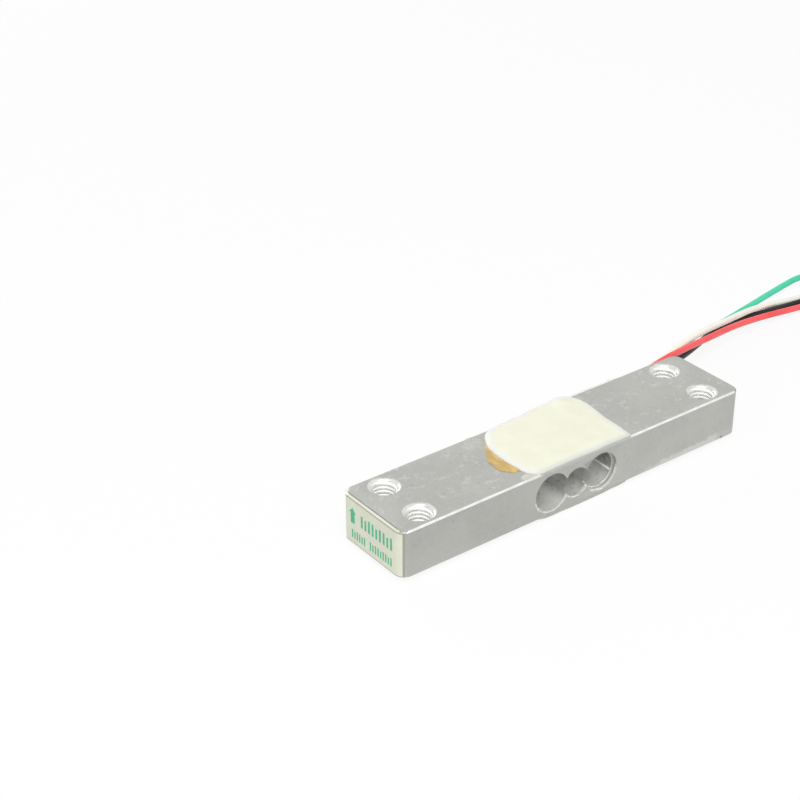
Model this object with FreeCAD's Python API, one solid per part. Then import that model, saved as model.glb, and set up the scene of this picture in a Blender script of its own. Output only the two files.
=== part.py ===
"""Single point load cell: a wide aluminium bar with a three-bore sensing window.

Foil gauges are bonded over and under the window and sealed with silicone. Their
bridge is wired to a small board on one side, where the four lead wires are soldered
under a silicone strain relief. The wires lie on the table and end in a neat coil.

Frame: +X runs along the bar towards the lead wires, +Y is the side that the wires
leave from, +Z is up. The origin is under the middle of the bar, on the surface that
the load cell stands on. Units are millimetres.
"""
import FreeCAD
import Part

import math
import os

V = FreeCAD.Vector

# ---- driving dimensions: the bar ----
LENGTH = 80.0
WIDTH = 17.5
HEIGHT = 9.5
UNDERSIDE = 0.9  # the bar stands this high, on the silicone of its lower gauges
PLAN_CORNER_R = 2.0
EDGE_BREAK = 0.3

# ---- driving dimensions: the sensing window ----
WINDOW_X = -1.0
BORE_SPACING = 5.8
END_BORE_R = 3.75
MIDDLE_BORE_R = 2.85
MOUTH_DEPTH = 1.1  # both mouths of the lead-side bore are opened out this deep
MOUTH_STEP = 0.3
MOUTH_BREAK = 0.14  # the rim of every bore is broken this much at both faces

# ---- driving dimensions: the tapped holes, M5 x 0.8 ----
HOLE_X = 33.5
HOLE_Y = 5.0
TAPPED_HOLE_R = 2.1
COUNTERSINK_R = 2.95

# ---- driving dimensions: gauges and board ----
FILM_THICK = 0.08
FOIL_THICK = 0.04
FILM_CORNER_R = 0.8
GRID_HALF_X = 2.1
GRID_HALF_Y = 1.55
GRID_TAB = 0.9
GRID_SLOTS = 5
GRID_SLOT = 0.22
PAD_SIZE = 1.2
LINK_PADS = ((10.6, 4.2), (9.0, 2.2))  # x, y of the solder pads at the film's lead end
BOARD_X = (15.2, 21.6)
BOARD_TALL = 7.2
BOARD_THICK = 0.6
LINK_WIRE_R = 0.1
LINK_WIRE_SKIM = 0.02  # clearance between a link wire and the face that it runs along

# ---- driving dimensions: silicone and label ----
TOP_COAT_THICK = 0.95
BOTTOM_COAT_THICK = 1.05  # before the bar's weight presses it flat
# x and y of the two curved ends of the coat, which runs over the broken edges of the bar
COAT_LABEL_END = ((-6.6, 8.45), (-9.1, 7.3), (-10.9, 4.9), (-11.8, 1.2),
                  (-11.9, -2.6), (-11.4, -6.0), (-9.9, -7.9), (-7.4, -8.6))
COAT_LEAD_END = ((11.2, 8.45), (12.6, 7.2), (13.1, 4.2), (12.6, 0.0),
                 (12.4, -4.5), (12.2, -7.8), (11.4, -8.6))
COAT_RIM_R = 0.15
COAT_LENGTH_CROWN_R = 230.0
COAT_WIDTH_CROWN_R = 110.0
COAT_TILT_DEG = 1.2  # the coat is thicker towards the side that is wired
RELIEF_BORE_R = 3.9  # the strain relief keeps clear of the lead-side bore
RELIEF_SEAT_Y = 0.6  # its sections start this deep inside the side of the bar
# x, lowest z, highest z and thickness of the strain relief, from the window to the leads
RELIEF_STATIONS = (
    (2.6, 0.55, 10.70, 0.35),
    (5.5, 0.30, 10.80, 0.75),
    (9.0, 0.25, 10.85, 1.30),
    (12.5, 0.45, 10.35, 2.00),
    (16.0, 0.75, 10.05, 2.45),
    (20.0, 0.80, 10.00, 2.60),
    (23.5, 1.05, 9.95, 2.55),
    (26.2, 1.75, 9.60, 2.20),
)
LABEL_THICK = 0.12
LABEL_MARGIN = 0.3
LABEL_Y = (-8.35, 7.35)  # the label is a little wider than the flat of the end face

# ---- driving dimensions: the lead wires ----
WIRE_R = 0.65
LEAD_START_X = 20.5
LEAD_EXIT_X = 26.4
SOLDER_R = 0.6
COIL_CENTRE = V(122.0, 13.2, 0.0)
COIL_MIDDLE_R = 7.2
STRAND_PITCH = 1.32
COIL_ORDER = ("red", "black", "white", "green")  # from the coil's inner strand outwards

# Heights at which the four leads leave the strain relief, one above the other.
LEAD_HEIGHTS = {"red": 8.2, "white": 6.6, "black": 5.05, "green": 3.5}

# Routes of the four leads from the strain relief to the table and on to the coil.
LEAD_ROUTES = {
    "red": [(33.0, 10.5, 8.1), (40.7, 12.4, 7.5), (48.8, 14.2, 6.1), (58.0, 16.1, 4.9),
            (67.0, 18.2, 3.1), (77.0, 19.3, 1.4), (89.5, 19.3, 0.65), (102.0, 18.6, 0.65)],
    "white": [(34.2, 11.6, 6.5), (43.0, 14.7, 6.7), (49.9, 17.0, 5.9), (57.5, 18.9, 5.1),
              (67.5, 21.5, 3.6), (79.0, 23.4, 2.1), (91.0, 22.9, 0.65), (104.0, 21.6, 0.65)],
    "black": [(36.5, 11.4, 5.0), (46.5, 13.9, 4.5), (54.0, 16.7, 3.7), (63.0, 20.4, 2.4),
              (71.5, 22.5, 0.9), (80.0, 22.0, 0.65), (91.0, 20.9, 0.65), (103.5, 20.0, 0.65)],
    "green": [(36.0, 12.0, 3.2), (47.0, 16.0, 2.4), (57.0, 20.6, 1.4), (66.0, 24.0, 0.65),
              (77.0, 26.5, 0.65), (88.0, 28.0, 0.65), (99.0, 27.4, 0.65), (109.5, 24.2, 0.65)],
}

# ---- worked out from the dimensions above ----
TOP = UNDERSIDE + HEIGHT
MID_Z = UNDERSIDE + HEIGHT / 2
SIDE_Y = WIDTH / 2
BOARD_FACE_Y = SIDE_Y + BOARD_THICK
LEAD_BORE_X = WINDOW_X + BORE_SPACING
GAUGE_X = (WINDOW_X - BORE_SPACING, LEAD_BORE_X)
FOIL_TOP = TOP + FILM_THICK + FOIL_THICK
COIL_INNER_R = COIL_MIDDLE_R - 1.5 * STRAND_PITCH - WIRE_R
COIL_OUTER_R = COIL_MIDDLE_R + 1.5 * STRAND_PITCH + WIRE_R


# ---------------------------------------------------------------- small helpers

def box(low, high):
    """A box between two corners."""
    size = high - low
    return Part.makeBox(size.x, size.y, size.z, low)


def flat_face(points):
    """A flat face inside a closed run of straight edges."""
    return Part.Face(Part.makePolygon(points + points[:1]))


def upright_edges(shape, low_x=-LENGTH, high_x=LENGTH):
    """The vertical edges of a plate between two x positions."""
    return [e for e in shape.Edges
            if abs(e.tangentAt(e.FirstParameter).z) > 0.9 and low_x < e.CenterOfMass.x < high_x]


def flipped(shape):
    """The same shape on the underside of the bar, mirrored at its mid height."""
    return shape.mirror(V(0, 0, MID_Z), V(0, 0, 1))


def group(shapes):
    """Separate solids that share one node."""
    return Part.makeCompound([solid for shape in shapes for solid in shape.Solids])


def rounded_route(points, name):
    """Straight runs joined by tangent arcs, each as large as its two runs allow."""
    edges = []
    radii = []
    start = points[0]
    for before, corner, after in zip(points, points[1:], points[2:]):
        run_in = (corner - before).normalize()
        run_out = (after - corner).normalize()
        half_turn = run_in.getAngle(run_out) / 2
        reach = 0.45 * min((corner - before).Length, (after - corner).Length)
        radii.append(reach / math.tan(half_turn))
        to_centre = (run_out - run_in).normalize() * (radii[-1] / math.cos(half_turn))
        arc_start = corner - run_in * reach
        arc_middle = corner + to_centre * (1 - math.cos(half_turn))
        arc_end = corner + run_out * reach
        edges.append(Part.LineSegment(start, arc_start).toShape())
        edges.append(Part.Arc(arc_start, arc_middle, arc_end).toShape())
        start = arc_end
    edges.append(Part.LineSegment(start, points[-1]).toShape())
    print(f"{name} bend radii:", ", ".join(f"{radius:.1f}" for radius in radii))
    return Part.Wire(edges)


def tube(points, radius, name):
    """A round tube along a route, with its volume checked against its length."""
    route = rounded_route(points, name)
    circle = Part.makeCircle(radius, points[0], points[1] - points[0])
    solid = route.makePipeShell([Part.Wire([circle])], True, False)
    expected = math.pi * radius ** 2 * route.Length
    print(f"{name} length {route.Length:.1f}, volume / expected {solid.Volume / expected:.4f}")
    return solid


# ---------------------------------------------------------------- the bar

def cross_bore(x, radius, start_y, length):
    """A round bore across the bar."""
    return Part.makeCylinder(radius, length, V(x, start_y, MID_Z), V(0, 1, 0))


def rim_breaks(x, radius):
    """Two cones that break the rims of a bore at the sides of the bar."""
    reach = 2 * MOUTH_BREAK
    return [Part.makeCone(radius + reach - MOUTH_BREAK, radius - MOUTH_BREAK, reach,
                          V(x, side * (SIDE_Y + reach - MOUTH_BREAK), MID_Z), V(0, -side, 0))
            for side in (-1, 1)]


def window_bores():
    """The three overlapping bores of the sensing window, as one cutting tool."""
    clear = 1.0
    start = -SIDE_Y - clear
    through = WIDTH + 2 * clear
    label_bore = cross_bore(GAUGE_X[0], END_BORE_R, start, through)
    middle_bore = cross_bore(WINDOW_X, MIDDLE_BORE_R, start, through)
    lead_bore = cross_bore(LEAD_BORE_X, END_BORE_R - MOUTH_STEP, start, through)
    mouths = [cross_bore(LEAD_BORE_X, END_BORE_R, y, clear + MOUTH_DEPTH)
              for y in (start, SIDE_Y - MOUTH_DEPTH)]
    breaks = rim_breaks(WINDOW_X, MIDDLE_BORE_R)
    for x in GAUGE_X:
        breaks += rim_breaks(x, END_BORE_R)
    return label_bore.multiFuse([middle_bore, lead_bore] + mouths + breaks)


def tapped_hole(x, y):
    """A through hole at its thread's minor diameter, countersunk at both faces."""
    sink = COUNTERSINK_R - TAPPED_HOLE_R
    half = flat_face([
        V(x, y, UNDERSIDE - sink),
        V(x + COUNTERSINK_R + sink, y, UNDERSIDE - sink),
        V(x + TAPPED_HOLE_R, y, UNDERSIDE + sink),
        V(x + TAPPED_HOLE_R, y, TOP - sink),
        V(x + COUNTERSINK_R + sink, y, TOP + sink),
        V(x, y, TOP + sink),
    ])
    return half.revolve(V(x, y, 0), V(0, 0, 1), 360)


def bar_blank(grown, low_z, high_z):
    """The bar's outline with its rounded corners, grown outwards by a skin's thickness."""
    half_x = LENGTH / 2 + grown
    half_y = SIDE_Y + grown
    blank = box(V(-half_x, -half_y, low_z), V(half_x, half_y, high_z))
    return blank.makeFillet(PLAN_CORNER_R + grown, upright_edges(blank))


def make_beam():
    """The bar with rounded corners and broken edges, its window and its tapped holes."""
    blank = bar_blank(0, UNDERSIDE, TOP)
    rims = [e for e in blank.Edges if e.BoundBox.ZLength < HEIGHT / 2]
    blank = blank.makeChamfer(EDGE_BREAK, rims)
    holes = [tapped_hole(x, y) for x in (-HOLE_X, HOLE_X) for y in (-HOLE_Y, HOLE_Y)]
    return blank.cut([window_bores()] + holes)


# ---------------------------------------------------------------- the gauges

def make_gauge_film():
    """The polyimide film that carries two gauges, with its corners trimmed by hand."""
    outline = [
        V(-14.5, -3.4, TOP), V(-12.9, -5.4, TOP), V(10.8, -5.4, TOP), V(12.2, -3.8, TOP),
        V(12.2, 3.8, TOP), V(10.8, 5.4, TOP), V(-10.8, 5.4, TOP), V(-14.3, 0.2, TOP),
    ]
    film = flat_face(outline).extrude(V(0, 0, FILM_THICK))
    return film.makeFillet(FILM_CORNER_R, upright_edges(film))


def gauge_grid(x):
    """One meander of foil: lines along the bar, joined at alternate ends, and two tabs."""
    low = TOP + FILM_THICK
    pitch = 2 * GRID_HALF_Y / (GRID_SLOTS + 1)
    grid = box(V(x - GRID_HALF_X, -GRID_HALF_Y, low), V(x + GRID_HALF_X, GRID_HALF_Y, FOIL_TOP))
    tabs = [box(V(x + GRID_HALF_X, y, low), V(x + GRID_HALF_X + GRID_TAB, y + GRID_TAB, FOIL_TOP))
            for y in (-GRID_HALF_Y, GRID_HALF_Y - GRID_TAB)]
    slots = []
    for i in range(GRID_SLOTS):
        shift = 2 * GRID_SLOT if i % 2 else -2 * GRID_SLOT
        centre_y = (i + 1) * pitch - GRID_HALF_Y
        slots.append(box(V(x - GRID_HALF_X + shift, centre_y - GRID_SLOT / 2, TOP),
                         V(x + GRID_HALF_X + shift, centre_y + GRID_SLOT / 2, FOIL_TOP + 1)))
    return grid.multiFuse(tabs).cut(slots).removeSplitter()


def make_gauge_foils():
    """Two grids over the thin webs of the window, and two solder pads."""
    half = PAD_SIZE / 2
    pads = [box(V(x - half, y - half, TOP + FILM_THICK), V(x + half, y + half, FOIL_TOP))
            for x, y in LINK_PADS]
    return group([gauge_grid(x) for x in GAUGE_X] + pads)


# ---------------------------------------------------------------- the wiring

def make_board():
    """The terminal board bonded to the side of the bar."""
    low = V(BOARD_X[0], SIDE_Y, MID_Z - BOARD_TALL / 2)
    high = V(BOARD_X[1], BOARD_FACE_Y, MID_Z + BOARD_TALL / 2)
    return box(low, high)


def make_link_wires():
    """Enamelled wires from the board over both long edges to the gauge films."""
    skim = LINK_WIRE_R + LINK_WIRE_SKIM
    wires = []
    for index, (x, y) in enumerate(LINK_PADS):
        rise = 2.6 - 0.9 * index
        route = [
            V(16.2, BOARD_FACE_Y + skim, MID_Z + rise),
            V(14.6, BOARD_FACE_Y + skim, MID_Z + rise + 0.05),
            V(x + 1.5, SIDE_Y + 2 * skim, MID_Z + rise + 0.5),
            V(x, SIDE_Y + 1.5 * skim, TOP - 0.9),
            V(x - 0.05, SIDE_Y + skim, TOP + skim),
            V(x, SIDE_Y - 1.4, FOIL_TOP + 1.5 * skim),
            V(x + 0.03, y, FOIL_TOP + skim),
        ]
        wires.append(tube(route, LINK_WIRE_R, f"link wire {index + 1}"))
    return group(wires + [flipped(wire) for wire in wires])


def lead_points(colour):
    """A lead's route from its solder joint into the coil, where it becomes a strand."""
    height = LEAD_HEIGHTS[colour]
    wire_y = BOARD_FACE_Y + WIRE_R
    strand_r = coil_strand_r(colour)
    entry_x = -math.sqrt(COIL_OUTER_R ** 2 - strand_r ** 2)
    points = [V(LEAD_START_X, wire_y, height), V(LEAD_EXIT_X, wire_y + 0.05, height)]
    points += [V(*point) for point in LEAD_ROUTES[colour]]
    points.append(COIL_CENTRE + V(entry_x + WIRE_R, strand_r, WIRE_R))
    return points


def make_solder_joints(wires):
    """Four joints on the lead pads of the board and two on each gauge film."""
    domes = [Part.makeSphere(SOLDER_R, V(LEAD_START_X - 0.3, BOARD_FACE_Y, z), V(0, 1, 0), 0, 90)
             for z in LEAD_HEIGHTS.values()]
    for x, y in LINK_PADS:
        dome = Part.makeSphere(PAD_SIZE / 3, V(x, y, FOIL_TOP), V(0, 0, 1), 0, 90)
        domes += [dome, flipped(dome)]
    return group([dome.cut(wires) for dome in domes])


def coil_strand_r(colour):
    """Radius of one lead's turns in the coil."""
    return COIL_MIDDLE_R + (COIL_ORDER.index(colour) - 1.5) * STRAND_PITCH


def make_coil():
    """Outer form of the coil: four strands wide, tallest where the inner leads end."""
    strand = 2 * WIRE_R
    profile = flat_face([
        COIL_CENTRE + V(COIL_INNER_R, 0, 0),
        COIL_CENTRE + V(COIL_OUTER_R, 0, 0),
        COIL_CENTRE + V(COIL_OUTER_R, 0, 2 * strand),
        COIL_CENTRE + V(COIL_OUTER_R - strand, 0, 3 * strand),
        COIL_CENTRE + V(COIL_INNER_R + strand, 0, 4 * strand),
        COIL_CENTRE + V(COIL_INNER_R, 0, 4 * strand),
    ])
    return profile.revolve(COIL_CENTRE, V(0, 0, 1), 360)


# ---------------------------------------------------------------- silicone and label

def crown_barrel(thick):
    """A solid whose upper skin is crowned along and across the bar, to shape a coat."""
    crest = TOP + thick
    axis = V(0, 0, crest - COAT_LENGTH_CROWN_R)
    half = SIDE_Y + 4
    side_z = crest - COAT_WIDTH_CROWN_R + math.sqrt(COAT_WIDTH_CROWN_R ** 2 - half ** 2)
    low_z = TOP - 20
    arc = Part.Arc(V(0, -half, side_z), V(0, 0, crest), V(0, half, side_z)).toShape()
    sides = Part.makePolygon([V(0, half, side_z), V(0, half, low_z),
                              V(0, -half, low_z), V(0, -half, side_z)])
    section = Part.Face(Part.Wire([arc] + sides.Edges))
    sweep = 16
    section.rotate(axis, V(0, 1, 0), -sweep / 2)
    barrel = section.revolve(axis, V(0, 1, 0), sweep)
    barrel.rotate(V(0, 0, TOP), V(1, 0, 0), COAT_TILT_DEG)
    return barrel


def make_coat(thick):
    """The crowned silicone over the upper gauges, with the freehand outline of its two ends."""
    low_z = TOP - EDGE_BREAK
    ends = []
    for places in (COAT_LABEL_END, COAT_LEAD_END):
        curve = Part.BSplineCurve()
        curve.interpolate([V(x, y, low_z) for x, y in places])
        ends.append(curve.toShape())
    sides = [Part.LineSegment(V(*COAT_LABEL_END[i], low_z), V(*COAT_LEAD_END[i], low_z)).toShape()
             for i in (0, -1)]
    outline = Part.Wire(Part.__sortEdges__(ends + sides))
    coat = Part.Face(outline).extrude(V(0, 0, TOP - low_z + 2 * thick)).common(crown_barrel(thick))
    rim = [e for e in coat.Edges
           if e.CenterOfMass.z > TOP + 0.1 and abs(e.tangentAt(e.FirstParameter).z) < 0.5]
    return coat.makeFillet(COAT_RIM_R, rim)


def relief_section(x, low_z, high_z, thick):
    """One D-shaped section of the strain relief, flat against the side of the bar."""
    inner_y = SIDE_Y - RELIEF_SEAT_Y
    span = high_z - low_z
    crown = Part.BSplineCurve()
    crown.interpolate([
        V(x, inner_y, low_z),
        V(x, SIDE_Y + 0.72 * thick, low_z + 0.10 * span),
        V(x, SIDE_Y + thick, low_z + 0.48 * span),
        V(x, SIDE_Y + 0.75 * thick, low_z + 0.88 * span),
        V(x, inner_y, high_z),
    ])
    flat = Part.LineSegment(V(x, inner_y, high_z), V(x, inner_y, low_z))
    return Part.Wire([crown.toShape(), flat.toShape()])


def make_strain_relief():
    """The silicone over the board, thin round the window and thick where the leads leave."""
    return Part.makeLoft([relief_section(*station) for station in RELIEF_STATIONS], True, False)


def make_label():
    """The paper label on the end away from the leads, bent a little round both corners."""
    low_z = UNDERSIDE + LABEL_MARGIN
    high_z = TOP - LABEL_MARGIN
    skin = bar_blank(LABEL_THICK, low_z, high_z).cut(bar_blank(0, low_z, high_z))
    strip = box(V(-LENGTH, LABEL_Y[0], low_z), V(PLAN_CORNER_R - LENGTH / 2, LABEL_Y[1], high_z))
    return skin.common(strip)


# ---------------------------------------------------------------- assembly

def build():
    """Every piece of the load cell, by node name."""
    beam = make_beam()
    top_film = make_gauge_film()
    top_foils = make_gauge_foils()
    board = make_board()
    links = make_link_wires()
    coil = make_coil()
    leads = {colour: tube(lead_points(colour), WIRE_R, f"{colour} wire").cut(coil)
             for colour in COIL_ORDER}
    joints = make_solder_joints([links] + list(leads.values()))

    top_coat = make_coat(TOP_COAT_THICK).cut(beam)
    over_table = box(V(-LENGTH, -WIDTH, 0), V(LENGTH, WIDTH, MID_Z))
    bottom_coat = flipped(make_coat(BOTTOM_COAT_THICK)).common(over_table).cut(beam)
    bore = cross_bore(LEAD_BORE_X, RELIEF_BORE_R, SIDE_Y - 1, 5)
    relief = make_strain_relief().cut([beam, bore, top_coat, bottom_coat])

    inner = [top_film, flipped(top_film), top_foils, flipped(top_foils), board, links, joints]
    parts = {
        "sensing_beam": beam,
        "top_gauge_film": top_film,
        "bottom_gauge_film": flipped(top_film),
        "top_gauge_foils": top_foils,
        "bottom_gauge_foils": flipped(top_foils),
        "terminal_board": board,
        "link_wires": links,
        "solder_joints": joints,
        "top_gauge_sealant": top_coat.cut(inner),
        "bottom_gauge_sealant": bottom_coat.cut(inner),
        "strain_relief": relief.cut(inner + list(leads.values())),
        "end_label": make_label(),
        "wire_coil": coil,
    }
    for colour, lead in leads.items():
        parts[f"{colour}_wire"] = lead
    return parts


if __name__ == "__main__":
    os.makedirs("parts", exist_ok=True)
    for node, shape in build().items():
        print(f"{node}: valid {shape.isValid()}, solids {len(shape.Solids)}, volume {shape.Volume:.2f}")
        shape.exportStep(f"parts/{node}.step")
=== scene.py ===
"""Single point load cell: finishes, threads, silicone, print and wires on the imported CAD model."""
import math

import bmesh
import bpy
import numpy as np
from mathutils import Matrix, Vector, noise


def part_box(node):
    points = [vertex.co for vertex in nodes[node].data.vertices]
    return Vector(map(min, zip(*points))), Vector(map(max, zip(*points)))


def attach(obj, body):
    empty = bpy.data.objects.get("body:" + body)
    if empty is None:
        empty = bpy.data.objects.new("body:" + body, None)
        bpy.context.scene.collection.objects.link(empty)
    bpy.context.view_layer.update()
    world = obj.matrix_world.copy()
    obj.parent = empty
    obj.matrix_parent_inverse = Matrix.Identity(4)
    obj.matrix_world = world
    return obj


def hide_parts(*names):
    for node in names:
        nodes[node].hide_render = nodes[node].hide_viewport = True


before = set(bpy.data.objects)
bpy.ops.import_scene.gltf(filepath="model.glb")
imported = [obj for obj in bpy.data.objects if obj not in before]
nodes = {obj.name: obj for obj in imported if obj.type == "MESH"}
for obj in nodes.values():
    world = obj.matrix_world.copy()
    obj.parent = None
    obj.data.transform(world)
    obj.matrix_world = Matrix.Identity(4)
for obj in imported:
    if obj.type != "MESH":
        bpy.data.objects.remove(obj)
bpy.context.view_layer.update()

MM = 0.001
WELD = 0.0001 * MM  # doubled points of a CAD mesh lie nearer than this


def mm(x, y, z):
    """A point given in millimetres."""
    return Vector((x, y, z)) * MM


def ramp(value, low, high):
    """0 at low and 1 at high, with level ends."""
    t = np.clip((value - low) / (high - low), 0.0, 1.0)
    return t * t * (3 - 2 * t)


BAR_LOW, BAR_HIGH = (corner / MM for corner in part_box("sensing_beam"))
BAR_TOP = BAR_HIGH.z
BAR_MIDDLE_Z = (BAR_LOW.z + BAR_HIGH.z) / 2
SIDE_Y = BAR_HIGH.y
EDGE_BREAK = 0.3
LABEL_LOW, LABEL_HIGH = (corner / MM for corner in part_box("end_label"))

# the sensing window
WINDOW_X = -1.0
BORE_SPACING = 5.8
END_BORE_R = 3.75
MIDDLE_BORE_R = 2.85
LEAD_BORE_X = WINDOW_X + BORE_SPACING
LEAD_BORE_R = 3.45
MOUTH_Y = 7.55  # the lead-side bore is opened out from here to each side
MOUTHS = ((WINDOW_X - BORE_SPACING, END_BORE_R), (WINDOW_X, MIDDLE_BORE_R), (LEAD_BORE_X, END_BORE_R))

# ---------------------------------------------------------------- camera

CAMERA_PLACE = mm(-192.79, -211.55, 183.69)
VIEW_TURN = math.radians(36.935)  # the bar is turned this far from the camera's own axes
VIEW_DROP = math.radians(30.141)
VIEW_ROLL = math.radians(-0.263)
LENS_MM, SENSOR_MM = 83.165, 36


def add_camera():
    """The camera at the photograph's viewing angle."""
    right = Vector((math.cos(VIEW_TURN), -math.sin(VIEW_TURN), 0))
    forward = Vector((math.sin(VIEW_TURN) * math.cos(VIEW_DROP),
                      math.cos(VIEW_TURN) * math.cos(VIEW_DROP), -math.sin(VIEW_DROP)))
    up = right.cross(forward)
    across = right * math.cos(VIEW_ROLL) + up * math.sin(VIEW_ROLL)
    upright = up * math.cos(VIEW_ROLL) - right * math.sin(VIEW_ROLL)
    data = bpy.data.cameras.new("camera")
    data.lens = LENS_MM
    data.sensor_width = SENSOR_MM
    data.clip_start = 0.01
    camera = bpy.data.objects.new("camera", data)
    bpy.context.collection.objects.link(camera)
    turn = Matrix((across, upright, -forward)).transposed().to_4x4()
    camera.matrix_world = Matrix.Translation(CAMERA_PLACE) @ turn
    bpy.context.scene.camera = camera


add_camera()

# ---------------------------------------------------------------- material helpers

BAND_REPEAT = 0.314  # a wave texture's bands repeat after this length at a scale of 1


class Finish:
    """One procedural material on a Principled surface, patterned in object coordinates."""

    def __init__(self, name, **settings):
        self.material = bpy.data.materials.new(name)
        self.material.use_nodes = True
        self.tree = self.material.node_tree
        self.tree.nodes.clear()
        self.surface = self.add("ShaderNodeBsdfPrincipled")
        self.join(self.surface.outputs[0], self.add("ShaderNodeOutputMaterial").inputs["Surface"])
        self.place = self.add("ShaderNodeTexCoord").outputs["Object"]
        self.set(**settings)

    def add(self, kind, **settings):
        """A new node with its own properties set."""
        node = self.tree.nodes.new(kind)
        for key, value in settings.items():
            setattr(node, key, value)
        return node

    def join(self, output, socket):
        """Joins one node's output to another's socket."""
        self.tree.links.new(output, socket)

    def put(self, value, socket):
        """Sets a socket to a constant, or joins another node's output to it."""
        if isinstance(value, bpy.types.NodeSocket):
            self.join(value, socket)
        elif isinstance(value, tuple) and len(value) == 3 and socket.type == "RGBA":
            socket.default_value = (*value, 1)
        else:
            socket.default_value = value

    def set(self, **settings):
        """Sets or joins the surface's sockets, such as base_color or roughness."""
        for key, value in settings.items():
            socket = key.replace("_", " ").title().replace("Ior", "IOR")
            self.put(value, self.surface.inputs[socket])

    def noise(self, size, detail=3.0, rough=0.5, stretch=(1, 1, 1)):
        """Noise with features of this size in millimetres, drawn out along the axes by stretch."""
        spread = self.add("ShaderNodeMapping")
        spread.inputs["Scale"].default_value = [1 / (size * MM * part) for part in stretch]
        self.join(self.place, spread.inputs["Vector"])
        cloud = self.add("ShaderNodeTexNoise")
        cloud.inputs["Scale"].default_value = 1
        cloud.inputs["Detail"].default_value = detail
        cloud.inputs["Roughness"].default_value = rough
        self.join(spread.outputs[0], cloud.inputs["Vector"])
        return cloud.outputs[0]

    def bands(self, pitch, axis, shift):
        """Bands across one axis, this many millimetres apart."""
        wave = self.add("ShaderNodeTexWave", wave_type="BANDS", bands_direction=axis)
        wave.inputs["Scale"].default_value = BAND_REPEAT / (pitch * MM)
        wave.inputs["Distortion"].default_value = shift
        wave.inputs["Detail"].default_value = 2
        self.join(self.place, wave.inputs["Vector"])
        return wave.outputs["Fac"]

    def between(self, value, low, high, start=0.0, end=1.0):
        """Start below low, end above high, and a smooth step from one to the other."""
        step = self.add("ShaderNodeMapRange", interpolation_type="SMOOTHSTEP")
        for name, part in zip(("Value", "From Min", "From Max", "To Min", "To Max"),
                              (value, low, high, start, end)):
            self.put(part, step.inputs[name])
        return step.outputs[0]

    def span(self, axis, low, high, start=0.0, end=1.0):
        """A smooth step between two places along X, Y or Z, in millimetres."""
        return self.between(self.along(axis), low, high, start, end)

    def calc(self, kind, first, second=0.0):
        """A math node on one or two values."""
        node = self.add("ShaderNodeMath", operation=kind)
        self.put(first, node.inputs[0])
        self.put(second, node.inputs[1])
        return node.outputs[0]

    def product(self, first, *others):
        """All the values multiplied together."""
        for other in others:
            first = self.calc("MULTIPLY", first, other)
        return first

    def mix(self, share, first, second):
        """A blend of two colours."""
        node = self.add("ShaderNodeMix", data_type="RGBA")
        self.put(share, node.inputs[0])
        self.put(first, node.inputs[6])
        self.put(second, node.inputs[7])
        return node.outputs[2]

    def attribute(self, name):
        """A value stored on the mesh."""
        return self.add("ShaderNodeAttribute", attribute_name=name).outputs["Fac"]

    def facing(self, axis):
        """How squarely the surface faces along X, Y or Z, either way, from 0 to 1."""
        split = self.add("ShaderNodeSeparateXYZ")
        self.join(self.add("ShaderNodeNewGeometry").outputs["True Normal"], split.inputs[0])
        return self.calc("ABSOLUTE", split.outputs[axis])

    def along(self, axis):
        """The place along X, Y or Z, in millimetres."""
        split = self.add("ShaderNodeSeparateXYZ")
        self.join(self.place, split.inputs[0])
        return self.calc("MULTIPLY", split.outputs[axis], 1 / MM)

    def from_axis(self, x, z):
        """The distance from a line across the bar through this place, in millimetres."""
        runs = [self.calc("SUBTRACT", self.along(axis), place) for axis, place in (("X", x), ("Z", z))]
        squares = [self.calc("MULTIPLY", run, run) for run in runs]
        return self.calc("SQRT", self.calc("ADD", *squares))

    def bump(self, height, depth, strength):
        """Relief this many millimetres deep."""
        node = self.add("ShaderNodeBump")
        node.inputs["Strength"].default_value = strength
        node.inputs["Distance"].default_value = depth * MM
        self.join(height, node.inputs["Height"])
        self.join(node.outputs[0], self.surface.inputs["Normal"])


# ---------------------------------------------------------------- finishes


def scuffed(paint, grey, flat):
    """Fine grain, dark pits, and pale scuffs in groups on the flat faces."""
    grain = paint.between(paint.noise(0.7, detail=4, rough=0.7), 0.3, 0.7)
    grey = paint.mix(paint.product(grain, 0.22), grey, (0.58, 0.585, 0.565))
    fleck = paint.between(paint.noise(1.1, detail=3, rough=0.6), 0.53, 0.68)
    group = paint.between(paint.noise(4.5, detail=2), 0.38, 0.58)
    grey = paint.mix(paint.product(fleck, group, flat, 0.5), grey, (0.65, 0.655, 0.63))
    pit = paint.between(paint.noise(0.9, detail=3), 0.62, 0.74)
    return paint.mix(paint.product(pit, 0.3), grey, (0.30, 0.30, 0.29))


def worn_near_side(paint, grey):
    """A pale worn strip low on the near side, ragged along its top, and a dark nick at its end."""
    near = paint.span("Y", -SIDE_Y + 0.2, -SIDE_Y + 0.5, 1.0, 0.0)
    slope = paint.calc("SUBTRACT", paint.along("Z"), paint.product(paint.along("X"), 0.045))
    ragged = paint.product(paint.noise(1.3, detail=3, rough=0.6), 2.2)
    strip = paint.between(paint.calc("ADD", slope, ragged), 1.8, 2.5, 0.75, 0.0)
    strip = paint.product(strip, paint.span("X", 12.0, 21.0), paint.span("X", 33.8, 35.2, 1.0, 0.2))
    grey = paint.mix(paint.product(strip, near), grey, (0.66, 0.66, 0.63))
    nick = paint.between(paint.from_axis(35.8, 1.3), 0.2, 0.45, 0.8, 0.0)
    return paint.mix(paint.product(nick, near), grey, (0.15, 0.15, 0.13))


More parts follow.
